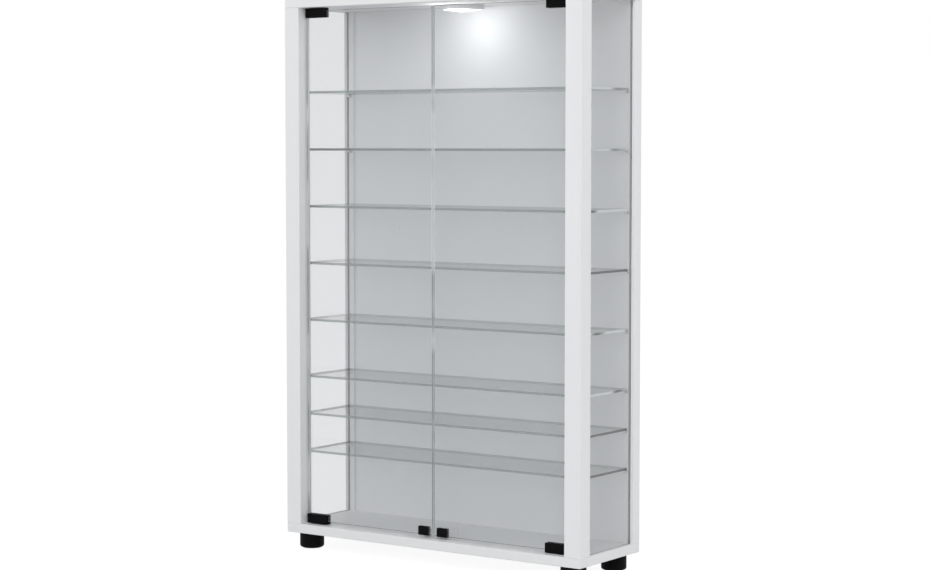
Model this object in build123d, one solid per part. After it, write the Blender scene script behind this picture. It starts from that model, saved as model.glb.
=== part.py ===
from build123d import *
import os

# Wall showcase: a shallow cabinet with a board frame, glass sides, two glass doors and glass shelves.
# Millimetres. X to the right, Y to the back, Z up. The origin is on the floor, under the middle of the case.

# Case
WIDTH = 600.0
DEPTH = 184.0
CASE_HEIGHT = 920.0
FOOT_HEIGHT = 28.0
BOARD = 16.0
FRONT_POST = 30.0
REAR_POST = 20.0
ARRIS = 0.8

# Glass and back panel
GLASS = 4.0
GLASS_ARRIS = 0.4
SIDE_GLASS_RECESS = 6.0
GROOVE_DEPTH = 4.0
POST_GROOVE_DEPTH = 6.0
GROOVE_PLAY = 0.2
PANEL = 3.0
PANEL_SETBACK = 17.0
PANEL_GROOVE_IN_POST = 3.0

# Shelves, on a drilled row of pin holes
PIN_STEP = 32.7
FIRST_SHELF = 139.5
SHELF_STEPS = (0, 2, 4, 7, 10, 13, 16, 19)
SHELF_SIDE_GAP = 2.0
PIN_RADIUS = 2.0
PIN_COLLAR_RADIUS = 3.0
PIN_COLLAR = 1.0
PIN_IN_POST = 9.0
PIN_REACH = 7.0
FRONT_PIN_INSET = 20.0
REAR_PIN_INSET = 13.6

# Doors
DOOR_SETBACK = 17.0
DOOR_SIDE_GAP = 3.0
DOOR_MEETING_GAP = 3.0

# Pivot hinges of the glass doors
CLAMP_LENGTH = 45.0
CLAMP_HEIGHT = 16.0
CLAMP_THICKNESS = 13.0
CLAMP_GAP = 1.0
CLAMP_FLOOR = 3.5
CLAMP_FRONT_LIP = 3.0
CLAMP_PAD = 0.5
CLAMP_SCREW_RADIUS = 2.5
CLAMP_SCREW_OFFSETS = (18.0, 34.0)
PIVOT_RADIUS = 2.5
PIVOT_DEPTH = 8.0
BUSH_PLAY = 0.05
BUSH_RADIUS = 4.0
BUSH_FLANGE_RADIUS = 6.0
BUSH_FLANGE = 0.7
BUSH_DEPTH = 9.0

# Strike clips on the door glass and the push latch behind them
STRIKE_WIDTH = 21.0
STRIKE_HEIGHT = 15.0
STRIKE_METAL = 0.8
STRIKE_LINER = 0.4
STRIKE_CENTRE = 19.0
LATCH_WIDTH = 46.0
LATCH_HEIGHT = 14.0
LATCH_LENGTH = 32.0
LATCH_FRONT = -66.0
LATCH_CAP = 2.0
LATCH_CAP_BOSS = 2.5
LATCH_SCREW_SEAT = 5.0
LATCH_SCREW_OFFSETS = (7.0, 25.0)
PLUNGER_X = 14.5
PLUNGER_RADIUS = 4.5
PLUNGER_PLAY = 0.3
PLUNGER_LENGTH = 20.0
PLUNGER_STEM_RADIUS = 2.0
PLUNGER_STEM = 9.0
PLUNGER_TRAVEL = 3.0
MAGNET_RADIUS = 3.4
MAGNET_LENGTH = 3.0
MAGNET_PROUD = 0.5
SPRING_WIRE_RADIUS = 0.4
SPRING_RADIUS = 3.3
SPRING_TURNS = 5

# Lamp under the top board
LAMP_Y = 14.0
LAMP_RADIUS = 35.0
LAMP_HEIGHT = 8.0
LAMP_WALL = 2.0
LAMP_ROOF = 1.5
LAMP_LIP = 4.0
LAMP_LENS = 2.0
LAMP_DOME = 4.0
LAMP_BOARD_RADIUS = 21.0
LAMP_BOARD = 1.4
CHIP_COUNT = 8
CHIP_RING_RADIUS = 14.0
LAMP_SCREW_RADIUS = 27.0
CABLE_RADIUS = 2.0
CABLE_BUSH_RADIUS = 4.0
CABLE_BUSH_FLANGE_RADIUS = 6.0
CABLE_BUSH_FLANGE = 1.2

# Feet
FOOT_RADIUS = 21.0
FOOT_FROM_SIDE = 31.0
FOOT_FROM_FRONT = 30.0
FOOT_ROUND = 5.0
FOOT_WEB = 7.0
FOOT_BORE_RADIUS = 6.0
PAD_RADIUS = 16.5
PAD_HEIGHT = 3.0
PAD_PROUD = 1.0

# Hanging plates on the rear edge of the top board
HANGER_SPACING = 480.0
HANGER_WIDTH = 28.0
HANGER_METAL = 2.0
HANGER_EYE_RADIUS = 4.0
HANGER_EYE_BELOW_BOARD = 16.0
HANGER_TOP_GAP = 2.0
HANGER_SCREW_SPREAD = 8.0

# Fixings
FIT_PLAY = 0.05
BOLT_HEAD_RADIUS = 5.0
BOLT_HEAD = 3.0
BOLT_SHANK_RADIUS = 3.5
BOLT_CORE_RADIUS = 2.6
BOLT_LENGTH = 46.0
BOLT_POINT = 3.0
BOLT_RECESS = 3.0
CAP_PLUG = 2.6
DOWEL_RADIUS = 3.0
DOWEL_IN_BOARD = 10.0
DOWEL_IN_POST = 14.0
SCREW_HEAD_RADIUS = 3.2
SCREW_HEAD = 1.8
SCREW_RADIUS = 1.6
SCREW_LENGTH = 13.0
FOOT_SCREW_RADIUS = 2.0
FOOT_SCREW_HEAD_RADIUS = 4.4
PLUG_HEAD_RADIUS = 3.5
PLUG_HEAD = 0.8
PLUG_RADIUS = 2.5
PLUG_X = 182.0
PLUG_HEIGHTS = (127.0, 553.0)

FROM_BASE = (Align.CENTER, Align.CENTER, Align.MIN)

# Planes that the sizes above lead to
LEFT = -WIDTH / 2
FRONT = -DEPTH / 2
BACK = DEPTH / 2
CASE_BOTTOM = FOOT_HEIGHT
CASE_TOP = CASE_BOTTOM + CASE_HEIGHT
INNER_BOTTOM = CASE_BOTTOM + BOARD
INNER_TOP = CASE_TOP - BOARD
MIDDLE_Z = (CASE_BOTTOM + CASE_TOP) / 2
POST_BACK = FRONT + FRONT_POST
REAR_POST_FRONT = BACK - REAR_POST
SIDE_GLASS_OUT = LEFT + SIDE_GLASS_RECESS
SIDE_GLASS_IN = SIDE_GLASS_OUT + GLASS
PANEL_FRONT = BACK - PANEL_SETBACK
DOOR_FRONT = FRONT + DOOR_SETBACK
DOOR_BACK = DOOR_FRONT + GLASS
DOOR_LEFT = LEFT + FRONT_POST + DOOR_SIDE_GAP
DOOR_RIGHT = -DOOR_MEETING_GAP / 2
DOOR_BOTTOM = INNER_BOTTOM + CLAMP_GAP + CLAMP_FLOOR + CLAMP_PAD
DOOR_TOP = INNER_TOP - CLAMP_GAP - CLAMP_FLOOR - CLAMP_PAD
CLAMP_FRONT = DOOR_FRONT - CLAMP_PAD - CLAMP_FRONT_LIP
CLAMP_BACK = CLAMP_FRONT + CLAMP_THICKNESS
PIVOT_Y = (CLAMP_FRONT + CLAMP_BACK) / 2
CLAMP_LEFT = LEFT + FRONT_POST + 1.0
PIVOT_X = CLAMP_LEFT + CLAMP_THICKNESS / 2
FOOT_X = -LEFT - FOOT_FROM_SIDE
FOOT_Y = -FRONT - FOOT_FROM_FRONT
LAMP_BOTTOM = INNER_TOP - LAMP_HEIGHT
STRIKE_BACK = DOOR_BACK + STRIKE_LINER + STRIKE_METAL
MAGNET_TIP = STRIKE_BACK + 0.3
PLUNGER_Z = INNER_BOTTOM + LATCH_HEIGHT / 2
HANGER_EYE_Z = INNER_TOP - HANGER_EYE_BELOW_BOARD
SHELF_HEIGHTS = [CASE_BOTTOM + FIRST_SHELF + step * PIN_STEP for step in SHELF_STEPS]
BOLT_PLACES = [(15.0, FRONT + 12.0), (10.0, BACK - 6.5)]
DOWEL_INSET = (23.0, FRONT + 23.0)


def block(x0, x1, y0, y1, z0, z1):
    """A box between two corners."""
    return Pos((x0 + x1) / 2, (y0 + y1) / 2, (z0 + z1) / 2) * Box(x1 - x0, y1 - y0, z1 - z0)


def rod(radius, start, direction, length):
    """A cylinder from start along direction."""
    return Plane(start, z_dir=direction) * Cylinder(radius, length, align=FROM_BASE)


def cone(radius, end_radius, start, direction, length):
    """A cone frustum from start along direction."""
    return Plane(start, z_dir=direction) * Cone(radius, end_radius, length, align=FROM_BASE)


def both_sides(shape):
    """A left-hand shape and its mirror image on the right."""
    return [shape, mirror(shape, about=Plane.YZ)]


def save(name, *shapes):
    """Writes one named part, or a group of equal separate ones."""
    solids = [solid for shape in shapes for solid in shape.solids()]
    whole = solids[0] if len(solids) == 1 else Compound(children=solids)
    export_step(whole, f"parts/{name}.step")


# Screws and other fixings


def case_bolt(x, y, up):
    """A connecting bolt through a board into the end grain of a post, with a hexagon socket."""
    head = CASE_BOTTOM + BOLT_RECESS if up > 0 else CASE_TOP - BOLT_RECESS
    way = (0, 0, up)
    core = BOARD - BOLT_RECESS
    point = BOLT_LENGTH - BOLT_POINT
    bolt = rod(BOLT_HEAD_RADIUS, (x, y, head), way, BOLT_HEAD)
    bolt += rod(BOLT_SHANK_RADIUS, (x, y, head + up * BOLT_HEAD), way, core - BOLT_HEAD)
    bolt += rod(BOLT_CORE_RADIUS, (x, y, head + up * core), way, point - core)
    bolt += cone(BOLT_CORE_RADIUS, 0.8, (x, y, head + up * point), way, BOLT_POINT)
    socket = extrude(Plane((x, y, head), z_dir=way) * RegularPolygon(2.3, 6), BOLT_HEAD)
    return bolt - socket


def bolt_bore(x, y, up):
    """The stepped hole that a connecting bolt needs."""
    outside = CASE_BOTTOM if up > 0 else CASE_TOP
    way = (0, 0, up)
    bore = rod(BOLT_HEAD_RADIUS + FIT_PLAY, (x, y, outside), way, BOLT_RECESS + BOLT_HEAD)
    bore += rod(BOLT_SHANK_RADIUS + FIT_PLAY, (x, y, outside), way, BOARD)
    return bore + rod(BOLT_CORE_RADIUS + FIT_PLAY, (x, y, outside), way, BOLT_RECESS + BOLT_LENGTH + 1)


def dowel(x, y, up):
    """A wooden dowel between a board and a front post."""
    joint = INNER_BOTTOM if up > 0 else INNER_TOP
    start = (x, y, joint - up * DOWEL_IN_BOARD)
    peg = rod(DOWEL_RADIUS, start, (0, 0, up), DOWEL_IN_BOARD + DOWEL_IN_POST)
    return chamfer(peg.edges().filter_by(GeomType.CIRCLE), 0.8)


def dowel_bore(x, y, up):
    """The hole for a dowel, through both parts that it joins."""
    joint = INNER_BOTTOM if up > 0 else INNER_TOP
    start = (x, y, joint - up * (DOWEL_IN_BOARD + 1))
    return rod(DOWEL_RADIUS + FIT_PLAY, start, (0, 0, up), DOWEL_IN_BOARD + DOWEL_IN_POST + 2)


def wood_screw(start, way, radius=SCREW_RADIUS, head_radius=SCREW_HEAD_RADIUS, length=SCREW_LENGTH):
    """A countersunk screw with a cross recess. start is the middle of its head's outer face."""
    axis = Vector(*way)
    at = Vector(*start)
    screw = cone(head_radius, radius, at, axis, SCREW_HEAD)
    screw += rod(radius, at + axis * SCREW_HEAD, axis, length - SCREW_HEAD - 2)
    screw += cone(radius, 0.4, at + axis * (length - 2), axis, 2)
    place = Plane(at, z_dir=axis)
    slot = Box(head_radius * 1.1, 0.8, SCREW_HEAD) + Box(0.8, head_radius * 1.1, SCREW_HEAD)
    return screw - place * slot


def screw_bore(start, way, radius=SCREW_RADIUS, head_radius=SCREW_HEAD_RADIUS, length=SCREW_LENGTH):
    """The countersunk pilot hole for a wood screw."""
    axis = Vector(*way)
    at = Vector(*start)
    play = FIT_PLAY
    bore = cone(head_radius + play, radius + play, at, axis, SCREW_HEAD)
    bore += rod(head_radius + play, at - axis * 30, axis, 30)
    return bore + rod(radius + play, at, axis, length + 1)


# Board frame


def case_bores(up):
    """All bolt and dowel holes at one end of the case."""
    bores = []
    for inset, y in BOLT_PLACES:
        bores += [bolt_bore(LEFT + inset, y, up), bolt_bore(-LEFT - inset, y, up)]
    inset, y = DOWEL_INSET
    bores += [dowel_bore(LEFT + inset, y, up), dowel_bore(-LEFT - inset, y, up)]
    return bores


def glass_grooves(z0, z1):
    """The grooves of a board for the two side panes and the back panel."""
    pane = block(SIDE_GLASS_OUT - GROOVE_PLAY, SIDE_GLASS_IN + GROOVE_PLAY, POST_BACK - POST_GROOVE_DEPTH,
                 REAR_POST_FRONT + POST_GROOVE_DEPTH, z0, z1)
    reach = -LEFT - REAR_POST + PANEL_GROOVE_IN_POST
    panel = block(-reach, reach, PANEL_FRONT, PANEL_FRONT + PANEL + GROOVE_PLAY, z0, z1)
    return both_sides(pane) + [panel]


def bush_bore(up):
    """The hole for a pivot bush in a board, on the left side."""
    face = INNER_BOTTOM if up > 0 else INNER_TOP
    return rod(BUSH_RADIUS, (PIVOT_X, PIVOT_Y, face), (0, 0, -up), BUSH_DEPTH)


def bottom_board():
    """The bottom board, with its grooves and the holes for what is fixed to it."""
    board = block(LEFT, -LEFT, FRONT, BACK, CASE_BOTTOM, INNER_BOTTOM)
    board = chamfer(board.edges(), ARRIS)
    board -= case_bores(1)
    board -= glass_grooves(INNER_BOTTOM - GROOVE_DEPTH, INNER_BOTTOM)
    board -= both_sides(bush_bore(1))
    board -= [screw_bore(start, way) for start, way in latch_screw_places()]
    board -= [foot_screw_bore(x, y) for x, y in foot_places()]
    return board


def top_board():
    """The top board, with pockets in its rear edge for the hanging plates."""
    board = block(LEFT, -LEFT, FRONT, BACK, INNER_TOP, CASE_TOP)
    board = chamfer(board.edges(), ARRIS)
    board -= case_bores(-1)
    board -= glass_grooves(INNER_TOP, INNER_TOP + GROOVE_DEPTH)
    board -= both_sides(bush_bore(-1))
    board -= [screw_bore(start, way) for start, way in lamp_screw_places()]
    board -= bush_outline()
    for x in (-HANGER_SPACING / 2, HANGER_SPACING / 2):
        half = HANGER_WIDTH / 2 + GROOVE_PLAY
        board -= block(x - half, x + half, BACK - HANGER_METAL, BACK, INNER_TOP,
                       CASE_TOP - HANGER_TOP_GAP + GROOVE_PLAY)
    board -= [screw_bore(start, way) for start, way in hanger_screw_places()]
    return board


def front_post():
    """The left front post, with its glass groove and shelf pin holes in the rear face."""
    post = block(LEFT, LEFT + FRONT_POST, FRONT, POST_BACK, INNER_BOTTOM, INNER_TOP)
    post = fillet(post.edges().filter_by(Axis.Z), ARRIS)
    post -= block(SIDE_GLASS_OUT - GROOVE_PLAY, SIDE_GLASS_IN + GROOVE_PLAY, POST_BACK - POST_GROOVE_DEPTH,
                  POST_BACK, INNER_BOTTOM, INNER_TOP)
    post -= case_bores(1)[0::2] + case_bores(-1)[0::2]
    post -= [pin_bore(LEFT + FRONT_PIN_INSET, POST_BACK, height, -1) for height in SHELF_HEIGHTS]
    return post


def rear_post():
    """The left rear post, with grooves for the side pane and the back panel."""
    inner = LEFT + REAR_POST
    post = block(LEFT, inner, REAR_POST_FRONT, BACK, INNER_BOTTOM, INNER_TOP)
    post = fillet(post.edges().filter_by(Axis.Z), ARRIS)
    post -= block(SIDE_GLASS_OUT - GROOVE_PLAY, SIDE_GLASS_IN + GROOVE_PLAY, REAR_POST_FRONT,
                  REAR_POST_FRONT + POST_GROOVE_DEPTH, INNER_BOTTOM, INNER_TOP)
    post -= block(inner - PANEL_GROOVE_IN_POST, inner, PANEL_FRONT, PANEL_FRONT + PANEL + GROOVE_PLAY,
                  INNER_BOTTOM, INNER_TOP)
    post -= case_bores(1)[0::2] + case_bores(-1)[0::2]
    post -= [pin_bore(LEFT + REAR_PIN_INSET, REAR_POST_FRONT, height, 1) for height in SHELF_HEIGHTS]
    return post


def side_glass():
    """The left side pane. It stands on the floor of its groove."""
    depth = POST_GROOVE_DEPTH - 0.5
    pane = block(SIDE_GLASS_OUT, SIDE_GLASS_IN, POST_BACK - depth, REAR_POST_FRONT + depth,
                 INNER_BOTTOM - GROOVE_DEPTH, INNER_TOP + GROOVE_DEPTH - 0.5)
    return chamfer(pane.edges(), GLASS_ARRIS)


def back_panel():
    """The thin panel in the grooves of the boards and rear posts."""
    reach = -LEFT - REAR_POST + PANEL_GROOVE_IN_POST - 0.5
    panel = block(-reach, reach, PANEL_FRONT + 0.1, PANEL_FRONT + 0.1 + PANEL, INNER_BOTTOM - GROOVE_DEPTH,
                  INNER_TOP + GROOVE_DEPTH - 0.5)
    for x, z in plug_places():
        panel -= rod(PLUG_RADIUS + FIT_PLAY, (x, PANEL_FRONT, z), (0, 1, 0), PANEL + 1)
    return panel


def plug_places():
    return [(x, z) for x in (-PLUG_X, PLUG_X) for z in PLUG_HEIGHTS]


def panel_plug(x, z):
    """A push-in plug that closes a spare fixing hole of the back panel."""
    face = PANEL_FRONT + 0.1
    plug = rod(PLUG_HEAD_RADIUS, (x, face, z), (0, -1, 0), PLUG_HEAD)
    plug = fillet(plug.faces().sort_by(Axis.Y)[0].edges(), 0.5)
    plug += rod(PLUG_RADIUS, (x, face, z), (0, 1, 0), PANEL)
    return plug + cone(PLUG_RADIUS, PLUG_RADIUS - 0.9, (x, face + PANEL, z), (0, 1, 0), 3)


def cover_cap(x, y):
    """A flush cap over the bolt head in the top board."""
    cap = rod(BOLT_HEAD_RADIUS, (x, y, CASE_TOP), (0, 0, -1), CAP_PLUG)
    return fillet(cap.faces().sort_by(Axis.Z)[-1].edges(), 0.6)


# Shelves


def pin_height(shelf_middle):
    return shelf_middle - GLASS / 2 - PIN_RADIUS


def pin_bore(x, face, shelf_middle, way):
    """The blind hole of a shelf pin in a post's face."""
    return rod(PIN_RADIUS + FIT_PLAY, (x, face, pin_height(shelf_middle)), (0, way, 0), PIN_IN_POST + 1)


def shelf_pin(x, face, shelf_middle, way):
    """A pin with a collar against the post. way points into the post."""
    z = pin_height(shelf_middle)
    pin = rod(PIN_RADIUS, (x, face + way * PIN_IN_POST, z), (0, -way, 0), PIN_IN_POST + PIN_REACH)
    pin = chamfer(pin.edges().filter_by(GeomType.CIRCLE), 0.4)
    return pin + rod(PIN_COLLAR_RADIUS, (x, face, z), (0, -way, 0), PIN_COLLAR)


def shelf_pins():
    pins = []
    for height in SHELF_HEIGHTS:
        pins += both_sides(shelf_pin(LEFT + FRONT_PIN_INSET, POST_BACK, height, -1))
        pins += both_sides(shelf_pin(LEFT + REAR_PIN_INSET, REAR_POST_FRONT, height, 1))
    return pins


def shelf(middle):
    reach = -SIDE_GLASS_IN - SHELF_SIDE_GAP
    pane = block(-reach, reach, POST_BACK + PIN_COLLAR + 0.1, REAR_POST_FRONT - PIN_COLLAR - 0.1,
                 middle - GLASS / 2, middle + GLASS / 2)
    return chamfer(pane.edges(), GLASS_ARRIS)


# Doors and their pivot hinges, left side


def door_glass():
    pane = block(DOOR_LEFT, DOOR_RIGHT, DOOR_FRONT, DOOR_BACK, DOOR_BOTTOM, DOOR_TOP)
    return chamfer(pane.edges(), GLASS_ARRIS)


def to_top(shape):
    """The mirror image of a part of the lower hinge, for the upper one."""
    return mirror(shape, about=Plane.XY.offset(MIDDLE_Z))


def clamp_screw_places():
    middle = DOOR_BOTTOM + (INNER_BOTTOM + CLAMP_GAP + CLAMP_HEIGHT - DOOR_BOTTOM) / 2
    return [(CLAMP_LEFT + offset, DOOR_BACK + CLAMP_PAD, middle) for offset in CLAMP_SCREW_OFFSETS]


def hinge_clamp():
    """The lower clamp: a bar with a half-round pivot end and a slot that takes the glass."""
    bottom = INNER_BOTTOM + CLAMP_GAP
    top = bottom + CLAMP_HEIGHT
    bar = block(PIVOT_X, CLAMP_LEFT + CLAMP_LENGTH, CLAMP_FRONT, CLAMP_BACK, bottom, top)
    bar = chamfer(bar.edges().filter_by(Axis.Z).group_by(Axis.X)[-1], 1.0)
    bar += rod(CLAMP_THICKNESS / 2, (PIVOT_X, PIVOT_Y, bottom), (0, 0, 1), CLAMP_HEIGHT)
    bar = chamfer(bar.faces().sort_by(Axis.Z)[-1].edges(), 0.8)
    bar -= block(DOOR_LEFT - CLAMP_PAD, CLAMP_LEFT + CLAMP_LENGTH, DOOR_FRONT - CLAMP_PAD,
                 DOOR_BACK + CLAMP_PAD, bottom + CLAMP_FLOOR, top)
    bar -= rod(PIVOT_RADIUS, (PIVOT_X, PIVOT_Y, bottom), (0, 0, 1), CLAMP_FLOOR - 0.3)
    for place in clamp_screw_places():
        bar -= rod(CLAMP_SCREW_RADIUS + FIT_PLAY, place, (0, 1, 0), CLAMP_THICKNESS)
    return bar


def hinge_pad():
    """The soft liner between the lower clamp and the glass."""
    floor = DOOR_BOTTOM - CLAMP_PAD
    top = INNER_BOTTOM + CLAMP_GAP + CLAMP_HEIGHT - 1
    end = CLAMP_LEFT + CLAMP_LENGTH - 1
    pad = block(DOOR_LEFT, end, DOOR_FRONT - CLAMP_PAD, DOOR_BACK + CLAMP_PAD, floor, top)
    return pad - block(DOOR_LEFT, end, DOOR_FRONT, DOOR_BACK, DOOR_BOTTOM, top)


def hinge_screw(place):
    """A grub screw that presses the glass against the front lip of the clamp."""
    x, y, z = place
    end = CLAMP_BACK - 0.4
    screw = rod(CLAMP_SCREW_RADIUS, place, (0, 1, 0), end - y)
    screw = chamfer(screw.edges().filter_by(GeomType.CIRCLE), 0.3)
    return screw - extrude(Plane((x, end, z), z_dir=(0, -1, 0)) * RegularPolygon(1.4, 6), 2.0)


def hinge_pin():
    """The lower pivot pin, pressed into the clamp and turning in the board's bush."""
    bottom = INNER_BOTTOM + CLAMP_GAP
    tip = INNER_BOTTOM - PIVOT_DEPTH
    pin = rod(PIVOT_RADIUS, (PIVOT_X, PIVOT_Y, tip), (0, 0, 1), bottom + CLAMP_FLOOR - 0.3 - tip)
    return chamfer(pin.faces().sort_by(Axis.Z)[0].edges(), 0.6)


def pivot_bush():
    """The lower flanged bush in the bottom board."""
    bush = rod(BUSH_RADIUS, (PIVOT_X, PIVOT_Y, INNER_BOTTOM), (0, 0, -1), BUSH_DEPTH)
    bush += rod(BUSH_FLANGE_RADIUS, (PIVOT_X, PIVOT_Y, INNER_BOTTOM), (0, 0, 1), BUSH_FLANGE)
    bore = rod(PIVOT_RADIUS + BUSH_PLAY, (PIVOT_X, PIVOT_Y, INNER_BOTTOM + BUSH_FLANGE), (0, 0, -1),
               PIVOT_DEPTH + BUSH_FLANGE + 0.3)
    return bush - bore


def strike_sleeve(gap, wall):
    """A U-shaped sleeve over the lower edge of the left door glass, gap away from it."""
    x0 = -STRIKE_CENTRE - STRIKE_WIDTH / 2
    x1 = -STRIKE_CENTRE + STRIKE_WIDTH / 2
    top = DOOR_BOTTOM - STRIKE_LINER - STRIKE_METAL + STRIKE_HEIGHT
    out = gap + wall
    sleeve = block(x0, x1, DOOR_FRONT - out, DOOR_BACK + out, DOOR_BOTTOM - out, top)
    return sleeve - block(x0, x1, DOOR_FRONT - gap, DOOR_BACK + gap, DOOR_BOTTOM - gap, top)


def strike_clip():
    """The steel sleeve that the latch magnet holds."""
    clip = strike_sleeve(STRIKE_LINER, STRIKE_METAL)
    lower = clip.edges().filter_by(Axis.X).group_by(Axis.Z)[0]
    return fillet(lower, STRIKE_METAL * 0.7)


# Push latch


def latch_screw_places():
    seat = INNER_BOTTOM + LATCH_SCREW_SEAT
    return [((0, LATCH_FRONT + offset, seat), (0, 0, -1)) for offset in LATCH_SCREW_OFFSETS]


def latch_block(y0, y1):
    """A length of the latch's outline, with its two upper edges rounded."""
    half = LATCH_WIDTH / 2
    body = block(-half, half, y0, y1, INNER_BOTTOM, INNER_BOTTOM + LATCH_HEIGHT)
    return fillet(body.edges().filter_by(Axis.Y).group_by(Axis.Z)[-1], 2.0)


def latch_body():
    """The housing, with a through bore for each plunger."""
    body = latch_block(LATCH_FRONT, LATCH_FRONT + LATCH_LENGTH)
    body = fillet(body.faces().sort_by(Axis.Y)[0].edges().group_by(Axis.Z)[-1], 0.8)
    for x in (-PLUNGER_X, PLUNGER_X):
        body -= rod(PLUNGER_RADIUS + PLUNGER_PLAY, (x, LATCH_FRONT, PLUNGER_Z), (0, 1, 0), LATCH_LENGTH)
    body -= [screw_bore(start, way) for start, way in latch_screw_places()]
    return body


def latch_cap():
    """The rear cap, with a boss in each bore that the spring bears on."""
    face = LATCH_FRONT + LATCH_LENGTH
    cap = latch_block(face, face + LATCH_CAP)
    for x in (-PLUNGER_X, PLUNGER_X):
        cap += rod(PLUNGER_RADIUS + PLUNGER_PLAY - FIT_PLAY, (x, face, PLUNGER_Z), (0, -1, 0), LATCH_CAP_BOSS)
    return cap


def latch_plunger():
    """The left plunger: a round nose with a magnet pocket and a stem for the spring."""
    nose = MAGNET_TIP + MAGNET_PROUD
    centre = (-PLUNGER_X, nose, PLUNGER_Z)
    shoulder = (-PLUNGER_X, nose + PLUNGER_LENGTH, PLUNGER_Z)
    plunger = rod(PLUNGER_RADIUS, centre, (0, 1, 0), PLUNGER_LENGTH)
    plunger = chamfer(plunger.faces().sort_by(Axis.Y)[0].edges(), 0.6)
    plunger += rod(PLUNGER_STEM_RADIUS, shoulder, (0, 1, 0), PLUNGER_STEM)
    return plunger - rod(MAGNET_RADIUS + FIT_PLAY, centre, (0, 1, 0), MAGNET_LENGTH - MAGNET_PROUD)


def latch_magnet():
    magnet = rod(MAGNET_RADIUS, (-PLUNGER_X, MAGNET_TIP, PLUNGER_Z), (0, 1, 0), MAGNET_LENGTH)
    return chamfer(magnet.faces().sort_by(Axis.Y)[0].edges(), 0.3)


def latch_spring():
    """The left spring round the plunger's stem, at its fully pressed length."""
    seat = LATCH_FRONT + LATCH_LENGTH - LATCH_CAP_BOSS
    shoulder = MAGNET_TIP + MAGNET_PROUD + PLUNGER_LENGTH + PLUNGER_TRAVEL
    length = seat - shoulder - 2 * SPRING_WIRE_RADIUS - 0.6
    path = Helix(length / SPRING_TURNS, length, SPRING_RADIUS)
    wire = Plane(path @ 0, z_dir=path % 0) * Circle(SPRING_WIRE_RADIUS)
    coil = sweep(wire, path, is_frenet=True)
    start = (-PLUNGER_X, shoulder + SPRING_WIRE_RADIUS + 0.3, PLUNGER_Z)
    return Plane(start, z_dir=(0, 1, 0)) * coil


# Lamp


def lamp_screw_places():
    roof = INNER_TOP - LAMP_ROOF
    return [((x, LAMP_Y, roof - SCREW_HEAD), (0, 0, 1)) for x in (-LAMP_SCREW_RADIUS, LAMP_SCREW_RADIUS)]


def lamp_housing():
    """A flat round cup, open below, with a lip that carries the lens."""
    cup = rod(LAMP_RADIUS, (0, LAMP_Y, LAMP_BOTTOM), (0, 0, 1), LAMP_HEIGHT)
    cup = fillet(cup.faces().sort_by(Axis.Z)[0].edges(), 1.5)
    cup -= rod(LAMP_RADIUS - LAMP_WALL - LAMP_LIP / 2, (0, LAMP_Y, LAMP_BOTTOM), (0, 0, 1), 2)
    cup -= rod(LAMP_RADIUS - LAMP_WALL, (0, LAMP_Y, LAMP_BOTTOM + 1), (0, 0, 1), LAMP_HEIGHT - LAMP_ROOF - 1)
    cup -= rod(CABLE_RADIUS + 0.5, (0, LAMP_Y, LAMP_BOTTOM), (0, 0, 1), LAMP_HEIGHT)
    for start, way in lamp_screw_places():
        cup -= rod(SCREW_RADIUS + FIT_PLAY, start, way, LAMP_HEIGHT)
    return cup


def lamp_lens():
    """A flanged lens whose shallow dome stands out through the lip."""
    seat = LAMP_BOTTOM + 1
    opening = LAMP_RADIUS - LAMP_WALL - LAMP_LIP / 2 - 0.2
    ball_radius = (opening**2 + LAMP_DOME**2) / (2 * LAMP_DOME)
    dome = rod(opening, (0, LAMP_Y, seat), (0, 0, -1), LAMP_DOME)
    dome &= Pos(0, LAMP_Y, seat - LAMP_DOME + ball_radius) * Sphere(ball_radius)
    return dome + rod(LAMP_RADIUS - LAMP_WALL - 0.2, (0, LAMP_Y, seat), (0, 0, 1), LAMP_LENS)


def lamp_board():
    """The light board: a disc with a ring of raised light chips."""
    top = INNER_TOP - LAMP_ROOF
    disc = rod(LAMP_BOARD_RADIUS, (0, LAMP_Y, top), (0, 0, -1), LAMP_BOARD)
    for place in PolarLocations(CHIP_RING_RADIUS, CHIP_COUNT):
        disc += Pos(0, LAMP_Y, top - LAMP_BOARD - 0.4) * place * Box(3.5, 2.8, 0.8)
    return disc


def bush_outline():
    """A stem through the top board with a flange let into its upper face."""
    flange = (0, LAMP_Y, CASE_TOP - CABLE_BUSH_FLANGE)
    stem = rod(CABLE_BUSH_RADIUS, (0, LAMP_Y, INNER_TOP), (0, 0, 1), BOARD)
    return stem + rod(CABLE_BUSH_FLANGE_RADIUS, flange, (0, 0, 1), CABLE_BUSH_FLANGE)


def cable_bush():
    """The flush rubber bush that the lamp's lead passes through."""
    return bush_outline() - rod(CABLE_RADIUS, (0, LAMP_Y, INNER_TOP), (0, 0, 1), BOARD)


# Feet


def foot_places():
    return [(x, y) for y in (-FOOT_Y, FOOT_Y) for x in (-FOOT_X, FOOT_X)]


def foot_screw(x, y):
    """The screw up through the web of a foot into the bottom board."""
    start = (x, y, FOOT_HEIGHT - FOOT_WEB)
    return wood_screw(start, (0, 0, 1), FOOT_SCREW_RADIUS, FOOT_SCREW_HEAD_RADIUS, 18)


def foot_screw_bore(x, y):
    start = (x, y, FOOT_HEIGHT - FOOT_WEB)
    return screw_bore(start, (0, 0, 1), FOOT_SCREW_RADIUS, FOOT_SCREW_HEAD_RADIUS, 18)


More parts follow.
